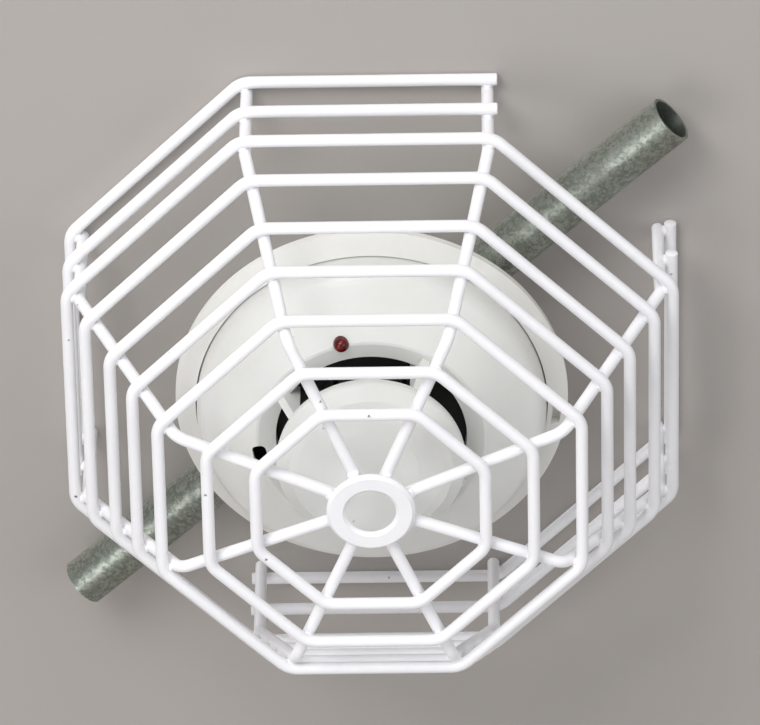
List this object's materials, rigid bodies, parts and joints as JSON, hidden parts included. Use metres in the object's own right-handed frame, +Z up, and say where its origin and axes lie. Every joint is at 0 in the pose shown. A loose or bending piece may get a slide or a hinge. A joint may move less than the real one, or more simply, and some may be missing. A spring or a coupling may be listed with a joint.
{
  "type": "heat detector",
  "caption": "Round heat detector with a capped air inlet and alarm lamp, on a conduit-fed octagon box under a welded white wire guard.",
  "frame": {"origin": "centre of the back box's rear face, on the wall plane and on the detector's axis", "axes": "-Y points out of the wall along the detector's axis, +Z up and +X to the right as it is seen from the front"},
  "size_m": [0.2288, 0.1169, 0.2214],
  "materials": {
    "guard_coating": "white powder coat",
    "box_zinc": "galvanised sheet",
    "conduit_zinc": "galvanised tube with spangle",
    "fitting_zinc": "zinc plated",
    "screw_steel": "zinc plated",
    "earth_screw": "green passivated",
    "base_plastic": "fine texture",
    "head_plastic": "fine texture",
    "baffle_plastic": "fine texture",
    "board": "solder mask",
    "contact_brass": "rolled",
    "thermistor_coat": "dipped",
    "lead_wire": "tinned",
    "holder_plastic": "moulded",
    "lamp_lens": "clear moulded",
    "chip_plastic": "moulded",
    "capacitor_sleeve": "sleeved",
    "resistor_body": "lacquered",
    "reed_body": "glass tube in plastic"
  },
  "bodies": {
    "base": {"rib_1": "guard_coating", "rib_2": "guard_coating", "rib_3": "guard_coating", "rib_4": "guard_coating", "rib_5": "guard_coating", "rib_6": "guard_coating", "rib_7": "guard_coating", "rib_8": "guard_coating", "hoop_1_upper": "guard_coating", "hoop_1_lower": "guard_coating", "hoop_2_upper": "guard_coating", "hoop_2_lower": "guard_coating", "hoop_3": "guard_coating", "hoop_4": "guard_coating", "hoop_5": "guard_coating", "hoop_6": "guard_coating", "hoop_7": "guard_coating", "front_ring_outer": "guard_coating", "front_ring_inner": "guard_coating", "centre_ring": "guard_coating", "back_box": "box_zinc", "ground_screw": "earth_screw", "conduit_upper": "conduit_zinc", "conduit_lower": "conduit_zinc", "connector_upper": "fitting_zinc", "connector_lower": "fitting_zinc", "locknut_upper": "fitting_zinc", "locknut_lower": "fitting_zinc", "connector_set_screws": "screw_steel", "base_ring": "base_plastic", "terminal_clips": "contact_brass", "clamp_plates": "screw_steel", "terminal_screws": "screw_steel", "base_screws": "screw_steel"},
    "head": {"head_back": "base_plastic", "head_cover": "head_plastic", "sensor_cap": "head_plastic", "air_baffle": "baffle_plastic", "circuit_board": "board", "contact_blades": "contact_brass", "case_screws": "screw_steel", "board_screws": "screw_steel", "thermistor_bead": "thermistor_coat", "thermistor_leads": "lead_wire", "thermistor_holder": "holder_plastic", "alarm_lamp": "lamp_lens", "lamp_leads": "lead_wire", "controller_chip": "chip_plastic", "capacitor": "capacitor_sleeve", "resistors": "resistor_body", "reed_switch": "reed_body"}
  },
  "joints": [
    {"name": "head_twist", "type": "hinge", "parent": "base", "child": "head", "pos_m": [0, 0, 0], "axis": [0, -1, 0], "range_deg": [0, 20]}
  ]
}
